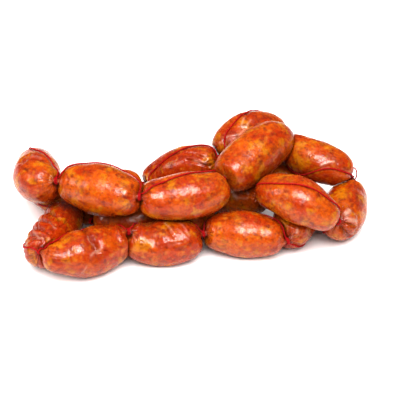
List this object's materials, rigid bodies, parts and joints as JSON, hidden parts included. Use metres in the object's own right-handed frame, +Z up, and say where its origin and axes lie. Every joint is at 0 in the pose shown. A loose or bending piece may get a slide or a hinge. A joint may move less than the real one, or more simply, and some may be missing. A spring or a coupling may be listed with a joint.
{
  "type": "string of sausage links",
  "caption": "Uncut string of small fresh red sausage links, tied at each neck with thread and folded into a low pile, to lie on a tray, board or plate.",
  "frame": {"origin": "middle of the pile's bounding box, on the surface it rests on", "axes": "+Z up; +X along the longest side of the pile, to the right as the picture shows it; -Y towards the side from which the picture was taken"},
  "size_m": [0.2288, 0.1348, 0.0603],
  "materials": {
    "sausage": "raw red-orange mince seen through a moist, thin, slightly glossy casing",
    "thread": "thin twisted red cotton, matt"
  },
  "bodies": {
    "root": {"link_01": "sausage", "link_02": "sausage", "link_03": "sausage", "link_04": "sausage", "link_05": "sausage", "link_06": "sausage", "link_07": "sausage", "link_08": "sausage", "link_09": "sausage", "link_10": "sausage", "link_11": "sausage", "link_12": "sausage", "link_13": "sausage", "link_14": "sausage", "link_15": "sausage", "link_16": "sausage", "link_17": "sausage", "link_18": "sausage", "link_19": "sausage", "link_20": "sausage", "link_21": "sausage", "thread": "thread"}
  },
  "joints": []
}
